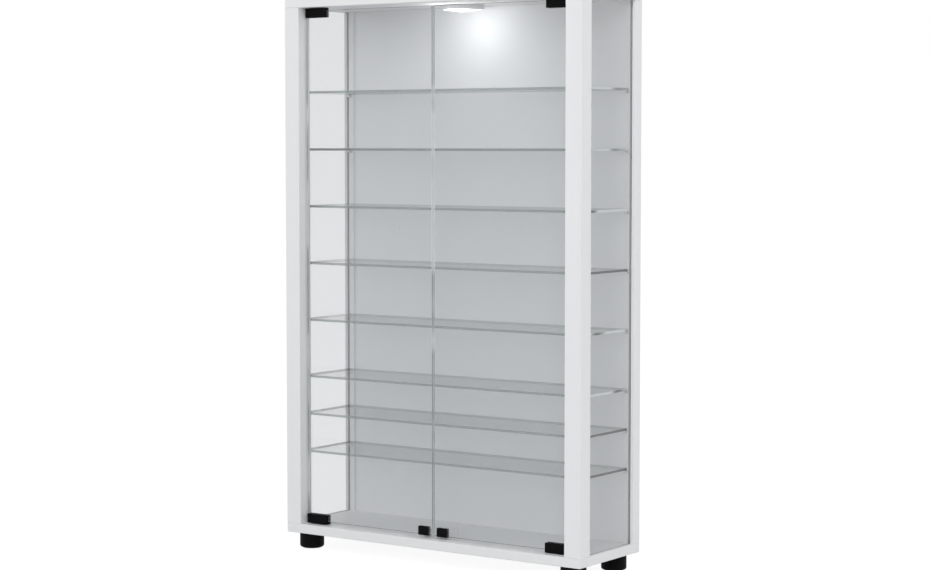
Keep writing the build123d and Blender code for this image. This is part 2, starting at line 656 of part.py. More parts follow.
def foot(x, y):
    """A round foot with a rounded lower edge, a bore for its screw and a recess for its pad."""
    body = rod(FOOT_RADIUS, (x, y, PAD_PROUD), (0, 0, 1), FOOT_HEIGHT - PAD_PROUD)
    body = fillet(body.faces().sort_by(Axis.Z)[0].edges(), FOOT_ROUND - PAD_PROUD)
    body -= rod(PAD_RADIUS + 0.1, (x, y, PAD_PROUD), (0, 0, 1), PAD_HEIGHT - PAD_PROUD)
    body -= rod(FOOT_BORE_RADIUS, (x, y, PAD_PROUD), (0, 0, 1), FOOT_HEIGHT - FOOT_WEB - PAD_PROUD)
    return body - foot_screw_bore(x, y)


def foot_pad(x, y):
    pad = rod(PAD_RADIUS, (x, y, 0), (0, 0, 1), PAD_HEIGHT)
    return fillet(pad.faces().sort_by(Axis.Z)[0].edges(), 0.6)


# Hanging plates


def hanger_screw_places():
    """Where the plates are screwed to the rear edge of the top board."""
    z = INNER_TOP + BOARD / 2
    places = []
    for x in (-HANGER_SPACING / 2, HANGER_SPACING / 2):
        places += [((x + side, BACK, z), (0, -1, 0)) for side in (-HANGER_SCREW_SPREAD, HANGER_SCREW_SPREAD)]
    return places


def hanger_plate(x):
    """A steel plate let into the top board, with an eye below it for a wall hook."""
    half = HANGER_WIDTH / 2
    plate = block(x - half, x + half, BACK - HANGER_METAL, BACK, HANGER_EYE_Z, CASE_TOP - HANGER_TOP_GAP)
    plate += rod(half, (x, BACK - HANGER_METAL, HANGER_EYE_Z), (0, 1, 0), HANGER_METAL)
    plate -= rod(HANGER_EYE_RADIUS, (x, BACK - HANGER_METAL, HANGER_EYE_Z), (0, 1, 0), HANGER_METAL)
    plate -= [screw_bore(start, way) for start, way in hanger_screw_places()]
    return plate


def main():
    os.makedirs("parts", exist_ok=True)
    save("bottom_board", bottom_board())
    save("top_board", top_board())
    pairs = {"front_post": front_post(), "rear_post": rear_post(), "side_glass": side_glass(),
             "door_glass": door_glass(), "hinge_clamp_bottom": hinge_clamp(),
             "hinge_clamp_top": to_top(hinge_clamp()), "strike_clip": strike_clip(),
             "strike_liner": strike_sleeve(0, STRIKE_LINER), "latch_plunger": latch_plunger(),
             "latch_magnet": latch_magnet()}
    for name, shape in pairs.items():
        left, right = both_sides(shape)
        save(f"{name}_left", left)
        save(f"{name}_right", right)
    low_parts = {"hinge_pads": [hinge_pad()], "hinge_pins": [hinge_pin()],
                 "hinge_screws": [hinge_screw(place) for place in clamp_screw_places()]}
    for name, shapes in low_parts.items():
        left = shapes + [to_top(shape) for shape in shapes]
        save(f"{name}_left", *left)
        save(f"{name}_right", *[mirror(shape, about=Plane.YZ) for shape in left])
    low_bushes = both_sides(pivot_bush())
    save("pivot_bushes", *low_bushes, *[to_top(bush) for bush in low_bushes])
    save("back_panel", back_panel())
    save("panel_plugs", *[panel_plug(x, z) for x, z in plug_places()])
    for number, height in enumerate(SHELF_HEIGHTS, 1):
        save(f"shelf_{number}", shelf(height))
    save("shelf_pins", *shelf_pins())
    save("latch_body", latch_body())
    save("latch_cap", latch_cap())
    save("latch_springs", *both_sides(latch_spring()))
    save("lamp_housing", lamp_housing())
    save("lamp_lens", lamp_lens())
    save("lamp_board", lamp_board())
    save("cable_bush", cable_bush())
    for (x, y), name in zip(foot_places(), ("front_left", "front_right", "rear_left", "rear_right")):
        save(f"foot_{name}", foot(x, y))
    save("foot_pads", *[foot_pad(x, y) for x, y in foot_places()])
    save("foot_screws", *[foot_screw(x, y) for x, y in foot_places()])
    save("hanger_plate_left", hanger_plate(-HANGER_SPACING / 2))
    save("hanger_plate_right", hanger_plate(HANGER_SPACING / 2))
    screws = latch_screw_places() + lamp_screw_places() + hanger_screw_places()
    save("wood_screws", *[wood_screw(start, way) for start, way in screws])
    bolt_xy = [(side * (LEFT + inset), y) for inset, y in BOLT_PLACES for side in (1, -1)]
    save("case_bolts", *[case_bolt(x, y, up) for x, y in bolt_xy for up in (1, -1)])
    save("cover_caps", *[cover_cap(x, y) for x, y in bolt_xy])
    dowel_x, dowel_y = LEFT + DOWEL_INSET[0], DOWEL_INSET[1]
    save("case_dowels", *[dowel(side * dowel_x, dowel_y, up) for side in (1, -1) for up in (1, -1)])


main()
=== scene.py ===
"""Looks of a wall mounted showcase.

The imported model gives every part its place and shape. This script dresses the parts with finishes,
adds the finer meshes of the lamp, the feet and the fittings, and sets up the studio.
"""

import logging
import math
from abc import ABC, abstractmethod
from dataclasses import dataclass
from enum import Enum
from typing import Any, Iterable, Union

import bmesh
import bpy
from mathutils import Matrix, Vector


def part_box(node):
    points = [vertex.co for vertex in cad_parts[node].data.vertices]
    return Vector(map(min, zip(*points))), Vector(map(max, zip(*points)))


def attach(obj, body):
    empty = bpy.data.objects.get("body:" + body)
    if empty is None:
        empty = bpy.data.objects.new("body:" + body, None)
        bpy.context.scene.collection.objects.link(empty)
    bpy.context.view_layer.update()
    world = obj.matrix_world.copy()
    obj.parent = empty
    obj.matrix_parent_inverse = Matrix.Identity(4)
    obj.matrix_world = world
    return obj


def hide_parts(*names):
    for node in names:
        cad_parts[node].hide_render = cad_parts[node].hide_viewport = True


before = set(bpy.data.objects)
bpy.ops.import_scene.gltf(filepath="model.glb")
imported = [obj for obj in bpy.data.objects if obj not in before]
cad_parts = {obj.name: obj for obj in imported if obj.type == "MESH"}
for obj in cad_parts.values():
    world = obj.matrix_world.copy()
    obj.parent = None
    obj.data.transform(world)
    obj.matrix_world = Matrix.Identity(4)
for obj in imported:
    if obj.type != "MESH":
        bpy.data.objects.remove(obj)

LOG = logging.getLogger("showcase")
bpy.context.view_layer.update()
MM = 0.001
Colour = tuple[float, float, float]
Input = Union["Value", float, Iterable[float]]


class Direction(Enum):
    """An axis of the row frame, as a vector."""

    X = (1.0, 0.0, 0.0)
    Y = (0.0, 1.0, 0.0)
    Z = (0.0, 0.0, 1.0)


class Side(Enum):
    """The two doors and their hand."""

    LEFT = "left"
    RIGHT = "right"


# Shader graphs


class Value:
    """One output socket of a shader graph, for use in Python expressions."""

    def __init__(self, graph: "Graph", socket: bpy.types.NodeSocket) -> None:
        """Keeps the socket and the graph that it belongs to."""
        self.graph = graph
        self.socket = socket

    def _math(self, operation: str, first: Input, second: Input = 0.0) -> "Value":
        """Adds one Math node."""
        return self.graph.node("ShaderNodeMath", {"operation": operation}, {0: first, 1: second})

    def __add__(self, other: Input) -> "Value":
        """self + other."""
        return self._math("ADD", self, other)

    def __radd__(self, other: Input) -> "Value":
        """other + self."""
        return self._math("ADD", other, self)

    def __sub__(self, other: Input) -> "Value":
        """self - other."""
        return self._math("SUBTRACT", self, other)

    def __rsub__(self, other: Input) -> "Value":
        """other - self."""
        return self._math("SUBTRACT", other, self)

    def __mul__(self, other: Input) -> "Value":
        """self * other."""
        return self._math("MULTIPLY", self, other)

    def __rmul__(self, other: Input) -> "Value":
        """other * self."""
        return self._math("MULTIPLY", other, self)

    def __truediv__(self, other: Input) -> "Value":
        """self / other."""
        return self._math("DIVIDE", self, other)

    def __abs__(self) -> "Value":
        """The absolute value."""
        return self._math("ABSOLUTE", self)

    def __gt__(self, other: Input) -> "Value":
        """1 where self is above other, else 0."""
        return self._math("GREATER_THAN", self, other)

    def __or__(self, other: Input) -> "Value":
        """The larger of the two."""
        return self._math("MAXIMUM", self, other)

    def limited(self) -> "Value":
        """self, held between 0 and 1."""
        return self._math("MINIMUM", self._math("MAXIMUM", self, 0.0), 1.0)


class Graph:
    """The node tree of one material or of the world."""

    def __init__(self, tree: bpy.types.NodeTree) -> None:
        """Empties the tree.

        Args:
            tree: the tree to fill.
        """
        self.tree = tree
        self.tree.nodes.clear()

    def node(self, kind: str, settings: dict[str, Any] | None = None,
             inputs: dict[int | str, Input] | None = None, out: int | str = 0) -> Value:
        """Adds a node.

        Args:
            kind: the node's type name.
            settings: properties to set first.
            inputs: values or links by socket name or number.
            out: the output to return.

        Returns:
            The chosen output of the new node.
        """
        made = self.tree.nodes.new(kind)
        for name, value in (settings or {}).items():
            setattr(made, name, value)
        for key, value in (inputs or {}).items():
            socket = made.inputs[key]
            if isinstance(value, Value):
                self.tree.links.new(value.socket, socket)
            else:
                socket.default_value = value
        return Value(self, made.outputs[out] if made.outputs else None)

    def place(self) -> Value:
        """The point's position in the row frame, in metres."""
        return self.node("ShaderNodeTexCoord", out="Object")

    def stretch(self, factors: Iterable[float]) -> Value:
        """The point's position, with each axis scaled."""
        return self.node("ShaderNodeVectorMath", {"operation": "MULTIPLY"},
                         {0: self.place(), 1: tuple(factors)})

    def dot(self, vector: Value, direction: Direction) -> Value:
        """The part of a vector along one axis."""
        return self.node("ShaderNodeVectorMath", {"operation": "DOT_PRODUCT"},
                         {0: vector, 1: direction.value}, out="Value")

    def facing(self, direction: Direction) -> Value:
        """How far the surface faces along an axis, from -1 to 1."""
        return self.dot(self.node("ShaderNodeTexCoord", out="Normal"), direction)

    def noise(self, scale: float, detail: float = 3.0, vector: Value | None = None) -> Value:
        """Noise between 0 and 1, with scale in cycles a metre."""
        return self.node("ShaderNodeTexNoise", {},
                         {"Vector": vector or self.place(), "Scale": scale, "Detail": detail})

    def distance(self, centre: Iterable[float], across: Iterable[float]) -> Value:
        """The distance from a centre, counting the axes that across marks with 1."""
        marks = tuple(across)
        flat_centre = tuple(value * mark for value, mark in zip(centre, marks))
        return self.node("ShaderNodeVectorMath", {"operation": "DISTANCE"},
                         {0: self.stretch(marks), 1: flat_centre}, out="Value")

    def arris(self) -> Value:
        """1 on sloping faces and edges, and 0 where the surface faces along an axis."""
        faces = [abs(self.facing(direction)) for direction in Direction]
        return 1.0 - ((faces[0] | faces[1] | faces[2]) > 0.97)

    def mix(self, factor: Input, first: Input, second: Input) -> Value:
        """A colour between two others."""
        ends = [end if isinstance(end, Value) else (*end, 1.0) for end in (first, second)]
        return self.node("ShaderNodeMix", {"data_type": "RGBA"}, {0: factor, 6: ends[0], 7: ends[1]}, out=2)

    def bump(self, height: Input, depth: float) -> Value:
        """A normal from a height between 0 and 1, with depth in metres."""
        return self.node("ShaderNodeBump", {}, {"Height": height, "Distance": depth, "Strength": 1.0})

    def principled(self, **inputs: Input) -> Value:
        """A Principled shader, with underscores in place of the spaces in its socket names."""
        named = {key.replace("_", " "): value for key, value in inputs.items()}
        return self.node("ShaderNodeBsdfPrincipled", {}, named)

    def blend(self, factor: Input, first: Value, second: Value) -> Value:
        """A Mix Shader."""
        return self.node("ShaderNodeMixShader", {}, {0: factor, 1: first, 2: second})


# Finishes


@dataclass(frozen=True)
class Finish(ABC):
    """One surface finish, and the material slot of the part list that it stands for."""

    slot: str
    title: str

    def material(self) -> bpy.types.Material:
        """Makes the material the first time, and finds it again later.

        Returns:
            The finished material.
        """
        found = bpy.data.materials.get(self.title)
        if found is None:
            found = bpy.data.materials.new(self.title)
            found.use_nodes = True
            graph = Graph(found.node_tree)
            graph.node("ShaderNodeOutputMaterial", inputs={"Surface": self.surface(graph)})
        return found

    @abstractmethod
    def surface(self, g: Graph) -> Value:
        """Builds the shader.

        Args:
            g: the material's empty graph.

        Returns:
            The surface shader.
        """


@dataclass(frozen=True)
class Laminate(Finish):
    """White melamine film on board: a satin pebble, faint clouding and slightly grey arrises."""

    colour: Colour = (0.80, 0.803, 0.805)
    joint: Colour = (0.73, 0.735, 0.74)

    def surface(self, g: Graph) -> Value:
        """Builds the shader."""
        cloud = g.noise(7.0, 3.0)
        rubbed = (g.noise(38.0, 5.0) - 0.6).limited() * 2.0
        film = g.mix(cloud, tuple(0.975 * part for part in self.colour), self.colour)
        worn = g.mix(g.arris() * (0.35 + 0.5 * rubbed), film, self.joint)
        pebble = g.noise(1500.0, 2.0) + 0.35 * g.noise(420.0, 2.0)
        return g.principled(Base_Color=worn, Roughness=(0.36 + 0.1 * cloud + 0.12 * rubbed).limited(),
                            Normal=g.bump(pebble, 0.000018), Specular_IOR_Level=0.3)


@dataclass(frozen=True)
class BackSheet(Finish):
    """Thin back panel: white foil in front, bare pressed fibre behind and on its edges."""

    foil: Colour = (0.81, 0.815, 0.82)
    fibre: Colour = (0.36, 0.235, 0.13)
    fibre_dark: Colour = (0.20, 0.115, 0.055)

    def surface(self, g: Graph) -> Value:
        """Builds the shader."""
        bare = 1.0 - ((0.0 - g.facing(Direction.Y)) > 0.7)
        strand = g.noise(240.0, 6.0, g.stretch((1.0, 1.0, 0.25)))
        fleck = (g.noise(900.0, 3.0) > 0.63) * 0.6
        raw = g.mix((strand + fleck - 0.25).limited(), self.fibre, self.fibre_dark)
        foil = g.mix(g.noise(5.0, 3.0), tuple(0.98 * part for part in self.foil), self.foil)
        height = bare * strand * 3.0 + g.noise(1100.0, 2.0)
        return g.principled(Base_Color=g.mix(bare, foil, raw), Roughness=0.5 + 0.34 * bare,
                            Normal=g.bump(height, 0.00002))


@dataclass(frozen=True)
class ClearGlass(Finish):
    """Float glass: clear faces with a mirror sheen and faint wipe marks, front and rear edges with a clear
    polish of which the rear one shows less, and side edges with a matt grind and painted highlights in
    patches."""

    through: Direction
    frosting: float = 0.5
    edge_tint: Colour = (0.56, 0.60, 0.595)
    tint: Colour = (0.937, 0.942, 0.944)
    # Colour of the edges that don't face along X: the shelves' own edge tone, painted shade on the doors' top
    # and bottom edges, painted light on the side panes' ends.
    polished_edge_and_painted_light: Colour = (0.47, 0.50, 0.495)
    # Colour of the edges that face along X: the shelves' own edge tone, a painted highlight on the doors'
    # hinge and meeting edges.
    ground_edge_and_painted_highlight: Colour = (0.055, 0.066, 0.064)
    # Painted highlight colour, laid in noise patches on the edges that face along X.
    painted_glint: Colour = (0.86, 0.88, 0.88)
    both_faces_index: float = 1.75
    side_frosting: float = 0.35
    rear_clearness: float = 0.65

    def surface(self, g: Graph) -> Value:
        """Builds the shader."""
        in_front = 1.0 - g.node("ShaderNodeNewGeometry", out="Backfacing")
        sheen = g.node("ShaderNodeFresnel", inputs={"IOR": self.both_faces_index})
        wiped = g.noise(16.0, 5.0, g.stretch((1.0, 1.0, 0.4)))
        mirror = g.node("ShaderNodeBsdfGlossy", inputs={"Roughness": 0.012 + 0.05 * (wiped - 0.45).limited()})
        pane = g.blend(sheen * in_front, self._clear(g, self.tint), mirror)
        side = abs(g.facing(Direction.X)) > 0.7
        # Painted highlight: noise patches turn the edges that face along X to the pale highlight colour,
        # standing in for edges that catch the lamps' light.
        painted_glint_patches = ((g.noise(9.0, 1.0) - 0.47) * 14.0).limited()
        colour = g.mix(side, self.polished_edge_and_painted_light, g.mix(painted_glint_patches, self.ground_edge_and_painted_highlight, self.painted_glint))
        cloudy = g.mix(g.noise(220.0, 4.0), colour, tuple(0.8 * part for part in self.polished_edge_and_painted_light))
        ground_edge_and_painted_highlight = g.principled(Base_Color=g.mix(side, cloudy, colour),
                              Roughness=0.2 + 0.2 * g.noise(500.0, 3.0),
                              Normal=g.bump(g.noise(1600.0, 2.0), 0.00002))
        frosting = (self.frosting + self.side_frosting * side).limited()
        rim = g.blend(frosting, self._clear(g, self.edge_tint), ground_edge_and_painted_highlight)
        at_rim = 1.0 - (abs(g.facing(self.through)) > 0.9)
        rear = g.facing(Direction.Y) > 0.7
        return g.blend(at_rim * (1.0 - self.rear_clearness * rear), pane, rim)

    @staticmethod
    def _clear(g: Graph, tint: Colour) -> Value:
        """A see-through shader of one tint."""
        return g.node("ShaderNodeBsdfTransparent", inputs={"Color": (*tint, 1.0)})


@dataclass(frozen=True)
class PowderCoat(Finish):
    """Black powder coat on metal: orange peel, with a little bare metal along its arrises."""

    colour: Colour = (0.0026, 0.0026, 0.003)
    raised: Colour = (0.0036, 0.0036, 0.004)
    bare: Colour = (0.035, 0.035, 0.036)

    def surface(self, g: Graph) -> Value:
        """Builds the shader."""
        peel = g.noise(950.0, 3.0)
        worn = (g.arris() * (g.noise(130.0, 5.0) - 0.55).limited() * 5.0).limited()
        return g.principled(Base_Color=g.mix(worn, g.mix(peel, self.colour, self.raised), self.bare),
                            Roughness=(0.4 + 0.12 * peel - 0.1 * worn).limited(), Metallic=0.5 * worn,
                            Specular_IOR_Level=0.05, Normal=g.bump(peel, 0.00007))


@dataclass(frozen=True)
class Moulded(Finish):
    """Moulded plastic: a spark-eroded grain, faint flow marks and lint-pale wear."""

    colour: Colour
    roughness: float = 0.42
    grain: float = 1300.0
    shine: float = 0.5

    def surface(self, g: Graph) -> Value:
        """Builds the shader."""
        grain = g.noise(self.grain, 3.0)
        flow = g.noise(28.0, 4.0, g.stretch((1.0, 1.0, 0.35)))
        pale = tuple(min(1.0, part * 1.12 + 0.002) for part in self.colour)
        return g.principled(Base_Color=g.mix((0.6 * flow + 0.4 * grain).limited(), self.colour, pale),
                            Roughness=(self.roughness + 0.14 * flow - 0.05 * grain).limited(),
                            Specular_IOR_Level=self.shine, Normal=g.bump(grain, 0.00003))


@dataclass(frozen=True)
class Metal(Finish):
    """Plated or blackened steel with drawn scratches and small stains."""

    colour: Colour
    roughness: float
    drawn: Direction

    def surface(self, g: Graph) -> Value:
        """Builds the shader."""
        scale = tuple(0.06 if value else 1.0 for value in self.drawn.value)
        scratches = g.noise(1900.0, 4.0, g.stretch(scale))
        stain = g.noise(90.0, 5.0)
        dull = tuple(0.72 * part for part in self.colour)
        return g.principled(Base_Color=g.mix((stain - 0.4).limited() * 1.6, self.colour, dull), Metallic=1.0,
                            Roughness=(self.roughness + 0.16 * scratches + 0.2 * (stain - 0.5)).limited(),
                            Normal=g.bump(scratches, 0.000012))


@dataclass(frozen=True)
class Rubber(Finish):
    """Soft rubber with a chalky bloom."""

    colour: Colour

    def surface(self, g: Graph) -> Value:
        """Builds the shader."""
        bloom = g.noise(160.0, 5.0)
        dusty = tuple(part * 0.8 + 0.05 for part in self.colour)
        return g.principled(Base_Color=g.mix((bloom - 0.42).limited() * 1.8, self.colour, dusty),
                            Roughness=(0.7 + 0.25 * bloom).limited(),
                            Normal=g.bump(g.noise(1000.0, 4.0), 0.00005))


@dataclass(frozen=True)
class Beech(Finish):
    """Turned beech, its grain along the dowel, with short dark flecks."""

    pale: Colour = (0.60, 0.40, 0.22)
    dark: Colour = (0.38, 0.22, 0.10)

    def surface(self, g: Graph) -> Value:
        """Builds the shader."""
        grain = g.noise(620.0, 5.0, g.stretch((1.0, 1.0, 0.08)))
        fleck = g.noise(1500.0, 2.0, g.stretch((1.0, 1.0, 0.2))) > 0.66
        return g.principled(Base_Color=g.mix((grain * 0.9 + 0.35 * fleck).limited(), self.pale, self.dark),
                            Roughness=0.5 + 0.2 * grain, Normal=g.bump(grain, 0.00006))


@dataclass(frozen=True)
class Diffuser(Finish):
    """The lit lens of the lamp: frosted, with round prisms, and brightest over the ring of light chips."""

    centre: tuple[float, float, float]
    ring: float
    pitch: float = 1.6 * MM
    glow: float = 0.85

    def surface(self, g: Graph) -> Value:
        """Builds the shader."""
        out = g.distance(self.centre, (1.0, 1.0, 0.0))
        away = (abs(out - self.ring) / self.ring).limited()
        prism = g.node("ShaderNodeMath", {"operation": "SINE"}, {0: math.tau / self.pitch * out}) * 0.5 + 0.5
        light = g.mix((0.75 * away + 0.3 * prism * away).limited(), (1.0, 0.995, 0.98), (0.50, 0.515, 0.53))
        return g.principled(Base_Color=g.mix(away, (0.86, 0.86, 0.86), (0.72, 0.73, 0.74)),
                            Roughness=0.35 + 0.1 * g.noise(700.0, 3.0), Emission_Color=light,
                            Emission_Strength=self.glow, Normal=g.bump(g.noise(1700.0, 2.0), 0.00003))


@dataclass(frozen=True)
class LightBoard(Finish):
    """The lamp's board: white solder mask, with faint copper tracks round its axis. The track rate is
    their phase, in radians a metre."""

    centre: tuple[float, float, float]
    track_rate: float = 1900.0

    def surface(self, g: Graph) -> Value:
        """Builds the shader."""
        rings = g.node("ShaderNodeMath", {"operation": "SINE"},
                       {0: self.track_rate * g.distance(self.centre, (1.0, 1.0, 0.0))})
        tracks = (rings > 0.55) * 0.5
        mask = g.mix(tracks, (0.78, 0.78, 0.75), (0.52, 0.50, 0.42))
        return g.principled(Base_Color=g.mix(g.noise(90.0, 3.0) * 0.3, mask, (0.68, 0.68, 0.66)),
                            Roughness=0.32 + 0.12 * g.noise(400.0, 2.0), Normal=g.bump(tracks, 0.00003))


LAMP_CENTRE = (0.0, 14.0, 924.0)
LAMP_PLACE = tuple(part * MM for part in LAMP_CENTRE)
CHIP_RING = 14.0
LAMINATE = Laminate("white_board", "White laminate")
BACK_SHEET = BackSheet("back_board", "Back sheet")
# Side panes: the end edges get a near-white colour, painted light that lightens the shaded strip where each
# pane meets its posts; the side edges keep the dark tone, with no highlight patches.
SIDE_PANE = ClearGlass("clear_glass", "Side pane glass", Direction.X, 0.9, (0.84, 0.86, 0.86),
                       polished_edge_and_painted_light=(0.86, 0.88, 0.878), painted_glint=(0.055, 0.066, 0.064))
# Doors: the top and bottom edges are near-black, painted shade for the shadowed gap under the door; the hinge
# and meeting edges are pale with brighter patches, painted highlight.
DOOR_PANE = ClearGlass("clear_glass", "Door glass", Direction.Y, 0.5, (0.80, 0.835, 0.83),
                       polished_edge_and_painted_light=(0.10, 0.115, 0.11), ground_edge_and_painted_highlight=(0.42, 0.45, 0.445), painted_glint=(0.78, 0.80, 0.80))
SHELF_PANE = ClearGlass("clear_glass", "Shelf glass", Direction.Z)
POWDER_COAT = PowderCoat("black_metal", "Black powder coat")
BLACK_STEEL = Metal("dark_steel", "Blackened steel", (0.12, 0.12, 0.125), 0.3, Direction.Z)
NICKEL = Metal("nickel_steel", "Nickel plate", (0.72, 0.70, 0.665), 0.2, Direction.Y)
BLACK_PLASTIC = Moulded("black_plastic", "Black moulding", (0.0024, 0.0024, 0.0026), 0.5, 1300.0, 0.05)
WHITE_PLASTIC = Moulded("white_plastic", "White moulding", (0.78, 0.785, 0.785), 0.3, 900.0)
GREY_PLASTIC = Moulded("grey_plastic", "Grey moulding", (0.68, 0.685, 0.69), 0.38)
NYLON = Moulded("nylon", "Nylon", (0.68, 0.67, 0.62), 0.46, 700.0)
BLACK_RUBBER = Rubber("black_rubber", "Black rubber", (0.014, 0.014, 0.014))
GREY_RUBBER = Rubber("grey_rubber", "Grey rubber", (0.20, 0.205, 0.21))
BEECH = Beech("beech", "Beech")
LENS = Diffuser("frosted_plastic", "Lit diffuser", LAMP_PLACE, CHIP_RING * MM)
LIGHT_BOARD = LightBoard("circuit_board", "Light board", LAMP_PLACE)
PHOSPHOR = Moulded("circuit_board", "Chip phosphor", (0.80, 0.58, 0.10), 0.22, 2400.0)


# Mesh work

SAME_POINT = 0.002
FLAT_EDGE = math.radians(0.4)
SHARP_EDGE = math.radians(40.0)
CREASE = math.radians(32.0)


class Blank:
    """A closed mesh being worked into one piece. Its methods take millimetres."""

    def __init__(self) -> None:
        """Starts with nothing."""
        self.mesh = bmesh.new()

    @classmethod
    def of_part(cls, part: str) -> "Blank":
        """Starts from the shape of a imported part, with its flat faces whole again.

        Args:
            part: the part's name.

        Returns:
            The new blank.
        """
        blank = cls()
        blank.mesh.from_mesh(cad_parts[part].data)
        bmesh.ops.remove_doubles(blank.mesh, verts=blank.mesh.verts, dist=SAME_POINT * MM)
        bmesh.ops.dissolve_limit(blank.mesh, angle_limit=FLAT_EDGE, verts=blank.mesh.verts,
                                 edges=blank.mesh.edges)
        return blank

    def ease(self, width: float) -> "Blank":
        """Rounds the sharp edges.

        Args:
            width: the width of the rounding.

        Returns:
            The blank itself.
        """
        self._round([edge for edge in self.mesh.edges
                     if edge.is_manifold and edge.calc_face_angle() > SHARP_EDGE], width)
        return self

    def _round(self, edges: list[bmesh.types.BMEdge], width: float) -> None:
        """Rounds some edges with two facets."""
        bmesh.ops.bevel(self.mesh, geom=edges, offset=width * MM, segments=2, profile=0.5, affect="EDGES",
                        clamp_overlap=True)

    def turned(self, profile: list[tuple[float, float]], base: Iterable[float], along: Iterable[float],
               steps: int = 72) -> "Blank":
        """Adds a turned solid.

        Args:
            profile: radii and heights, from one end on the axis to the other end on it.
            base: the point of the axis at height 0.
            along: the direction of the axis.
            steps: the number of facets round it.

        Returns:
            The blank itself.
        """
        axis = Vector(along).normalized()
        across = axis.orthogonal().normalized()
        side = axis.cross(across)
        rings = []
        for radius, height in profile:
            middle = (Vector(base) + axis * height) * MM
            if radius == 0:
                rings.append([self.mesh.verts.new(middle)])
                continue
            turns = [math.tau * step / steps for step in range(steps)]
            spokes = [(across * math.cos(turn) + side * math.sin(turn)) * (radius * MM) for turn in turns]
            rings.append([self.mesh.verts.new(middle + spoke) for spoke in spokes])
        for lower, upper in zip(rings, rings[1:]):
            self._skin(lower, upper)
        return self

    def _skin(self, lower: list[bmesh.types.BMVert], upper: list[bmesh.types.BMVert]) -> None:
        """Joins two rings of points, of which one may be a single point."""
        count = max(len(lower), len(upper))
        for step in range(count):
            after = (step + 1) % count
            corners = [lower[step % len(lower)], lower[after % len(lower)],
                       upper[after % len(upper)], upper[step % len(upper)]]
            self.mesh.faces.new(list(dict.fromkeys(corners)))

    def block(self, low: Iterable[float], high: Iterable[float], ease: float) -> "Blank":
        """Adds a block between two corners.

        Args:
            low: the lowest corner.
            high: the highest corner.
            ease: the rounding of its edges.

        Returns:
            The blank itself.
        """
        first, last = Vector(low) * MM, Vector(high) * MM
        corners = bmesh.ops.create_cube(self.mesh, size=1.0)["verts"]
        for corner in corners:
            corner.co = Vector(first[i] if corner.co[i] < 0 else last[i] for i in range(3))
        self._round(list({edge for corner in corners for edge in corner.link_edges}), ease)
        return self

    def piece(self, name: str, finish: Finish, body: str, *replaced: str) -> bpy.types.Object:
        """Turns the blank into a piece that rides on a body.

        Args:
            name: the piece's name.
            finish: its finish.
            body: the body that carries it.
            replaced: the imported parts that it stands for.

        Returns:
            The new object.
        """
        bmesh.ops.recalc_face_normals(self.mesh, faces=self.mesh.faces)
        data = bpy.data.meshes.new(name)
        self.mesh.to_mesh(data)
        self.mesh.free()
        data.polygons.foreach_set("use_smooth", [True] * len(data.polygons))
        data.set_sharp_from_angle(angle=CREASE)
        data.materials.append(finish.material())
        made = bpy.data.objects.new(name, data)
        bpy.context.scene.collection.objects.link(made)
        shading = made.modifiers.new("Even shading", "WEIGHTED_NORMAL")
        shading.keep_sharp = True
        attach(made, body)
        if replaced:
            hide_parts(*replaced)
        LOG.info("%s: %d faces, %s, on %s", name, len(data.polygons), finish.title, body)
        return made


def paint(finish: Finish, *parts: str) -> None:
    """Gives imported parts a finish.

    Args:
        finish: the finish.
        parts: the names of the parts.
    """
    for part in parts:
        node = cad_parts[part]
        node.data.materials.clear()
        node.data.materials.append(finish.material())
        LOG.info("%s: packed part, %s", part, finish.title)


class Assembly(ABC):
    """One part of the showcase, with its sizes as fields."""

    def build(self) -> None:
        """Adds the assembly's finer meshes. Some assemblies have none."""

    @abstractmethod
    def dress(self) -> None:
        """Gives the assembly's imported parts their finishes."""


# The case


@dataclass
class Case(Assembly):
    """The boards, posts and side panes, with their bolts, dowels and cover caps."""

    cap_radius: float = 5.0
    cap_plug: float = 2.6
    bolts: tuple[tuple[float, float], ...] = ((285.0, -80.0), (290.0, 85.5))

    def build(self) -> None:
        """Turns the cover caps, each with a shallow dish in its face."""
        caps = Blank()
        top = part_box("cover_caps")[1].z / MM
        r, low = self.cap_radius, top - self.cap_plug
        profile = [(0, low), (r - 0.5, low), (r, low + 0.5), (r, top - 0.5), (r - 0.5, top - 0.06),
                   (r - 1.1, top), (r - 1.7, top - 0.12), (0, top - 0.3)]
        for side in (-1, 1):
            for x, y in self.bolts:
                caps.turned(profile, (side * x, y, 0), (0, 0, 1), 48)
        caps.piece("cover_caps_turned", WHITE_PLASTIC, "case", "cover_caps")

    def dress(self) -> None:
        """Gives the case its finishes."""
        paint(LAMINATE, "bottom_board", "top_board", "front_post_left", "front_post_right",
              "rear_post_left", "rear_post_right")
        paint(SIDE_PANE, "side_glass_left", "side_glass_right")
        paint(BLACK_STEEL, "case_bolts", "wood_screws", "foot_screws")
        paint(BEECH, "case_dowels")


@dataclass
class BackPanel(Assembly):
    """The grooved-in back sheet and the plugs that close its spare holes."""

    plug_x: float = 182.0
    heights: tuple[float, float] = (127.0, 553.0)
    head_radius: float = 3.5
    stem_radius: float = 2.5

    def build(self) -> None:
        """Turns the push-in plugs, each with a domed head and a barbed stem."""
        low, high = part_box("panel_plugs")
        face = low.y / MM
        end = high.y / MM - face
        r, s = self.head_radius, self.stem_radius
        profile = [(0, 0), (r - 1.4, 0.05), (r - 0.5, 0.28), (r, 0.8), (s, 0.8), (s, 3.7), (s - 0.1, 4.0),
                   (s, 4.4), (s - 0.9, end), (0, end)]
        plugs = Blank()
        for x in (-self.plug_x, self.plug_x):
            for z in self.heights:
                plugs.turned(profile, (x, face, z), (0, 1, 0), 40)
        plugs.piece("panel_plugs_turned", WHITE_PLASTIC, "case", "panel_plugs")

    def dress(self) -> None:
        """Gives the panel its finish."""
        paint(BACK_SHEET, "back_panel")


